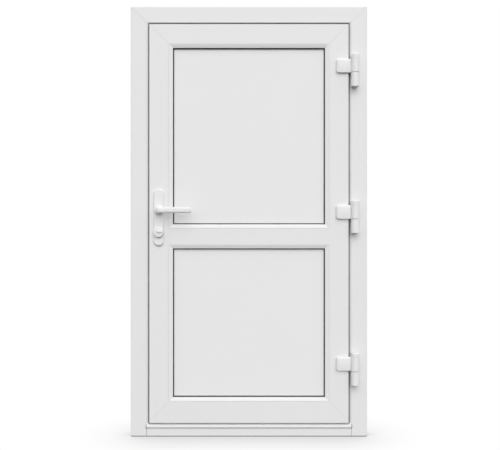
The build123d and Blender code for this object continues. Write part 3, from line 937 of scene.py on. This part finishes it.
# %% Rubber beads
BEAD_STEPS = 6
GASKET_COVER = 0.010
GASKET_SHOW = 0.0045
BEAD_RISE = 0.0012
BEAD_FOLD = 1.0
BACK_COVER = 0.0105


def add_bead(mesh, low, high, inset, width, y, outward):
    """A half-round bead round the rectangle between two corners, set in from it."""
    loops = []
    for step in range(BEAD_STEPS + 1):
        angle = math.pi * step / BEAD_STEPS
        reach = inset + width * (0.5 - 0.5 * math.cos(angle))
        rise = y + outward * BEAD_RISE * math.sin(angle)
        x0, x1, z0, z1 = low.x + reach, high.x - reach, low.z + reach, high.z - reach
        points = ((x0, rise, z0), (x1, rise, z0), (x1, rise, z1), (x0, rise, z1))
        loops.append(loop_of(mesh, Matrix.Identity(4), points))
    for first, second in zip(loops, loops[1:] + loops[:1]):
        bridge(mesh, first, second)


for pane in ("upper", "lower"):
    low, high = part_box(f"{pane}_panel_gaskets")
    mesh = bmesh.new()
    add_bead(mesh, low, high, GASKET_COVER, GASKET_SHOW, low.y, -1)
    add_bead(mesh, low, high, BACK_COVER, GASKET_SHOW, high.y, 1)
    finish_piece(f"{pane}_gasket_beads", mesh, "leaf", "seal_rubber", smooth_angle=BEAD_FOLD)

# %% [markdown]
# ### Threshold seals
#
# The threshold is cut square and pushed up between the jambs, on a thin rubber pad at each end. The pad's edge shows
# as a fine dark joint up the fascia. Round the end of the nose the pad is thicker, and its dark line there is partly
# a painted shadow of the nose on the jamb. A black strip under the frame is a painted shadow along the floor, where
# the shadow gap is. All are prisms across the door: the nose's outline is an arc through its three known points.

# %% Threshold seals
NOSE_LOW = 0.038
NOSE_HIGH = 0.056
NOSE_STEPS = 12
PAD_LIP = 0.0006
PAD_SINK = 0.0005
PAD_EDGE = 0.0002
FASCIA_PAD = 0.0004
# The nose's pad is thicker: partly a painted shadow of the nose's end on the jamb.
NOSE_PAD = 0.0016
# The foot strip is a painted shadow: a black strip in the recess under the frame.
FOOT_STRIP_BULGE_MM = ((0.2, 0.2), (-0.5, 0.9), (-0.6, 1.9), (-0.3, 2.8), (0.0, 3.0), (0.0, 2.4))
FOOT_STRIP_BACK_MM = ((6.0, 2.4), (6.0, 0.2))
FOOT_STRIP_INSET = 0.0045


def add_prism(mesh, outline, x0, x1):
    """A prism across the door, with its outline in y and z."""
    ends = [loop_of(mesh, Matrix.Identity(4), [(x, y, z) for y, z in outline]) for x in (x0, x1)]
    bridge(mesh, *ends)
    for end in ends:
        mesh.faces.new(end)


def nose_outline(front, proud):
    """The nose's arc, grown by the pad's lip, and closed behind the jamb's face."""
    half_chord = (NOSE_HIGH - NOSE_LOW) / 2
    radius = (half_chord**2 + proud**2) / (2 * proud)
    centre_y = front - proud + radius
    centre_z = (NOSE_LOW + NOSE_HIGH) / 2
    reach = radius + PAD_LIP
    spread = math.acos((centre_y - front) / reach)
    angles = [spread * (2 * step / NOSE_STEPS - 1) for step in range(NOSE_STEPS + 1)]
    arc = [(centre_y - reach * math.cos(angle), centre_z + reach * math.sin(angle)) for angle in angles]
    return arc + [(front + PAD_SINK, arc[-1][1]), (front + PAD_SINK, arc[0][1])]


threshold_low, threshold_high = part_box("threshold")
nose = nose_outline(front_y, front_y - threshold_low.y)
foot_strip = [(front_y + depth / 1000, height / 1000) for depth, height in FOOT_STRIP_BULGE_MM + FOOT_STRIP_BACK_MM]
foot_top = max(height for depth, height in foot_strip)
pad_front, pad_back = front_y - PAD_EDGE, front_y + PAD_SINK
fascia = [(pad_front, foot_top), (pad_front, NOSE_LOW), (pad_back, NOSE_LOW), (pad_back, foot_top)]
mesh = bmesh.new()
for side in (-1, 1):
    end_x = side * threshold_high.x
    add_prism(mesh, fascia, end_x - FASCIA_PAD / 2, end_x + FASCIA_PAD / 2)
    add_prism(mesh, nose, end_x - side * PAD_EDGE, end_x + side * NOSE_PAD)
finish_piece("threshold_end_pads", mesh, "frame", "seal_rubber")

mesh = bmesh.new()
add_prism(mesh, foot_strip, head_low.x + FOOT_STRIP_INSET, head_high.x - FOOT_STRIP_INSET)
finish_piece("foot_shadow_strip", mesh, "frame", "seal_rubber")
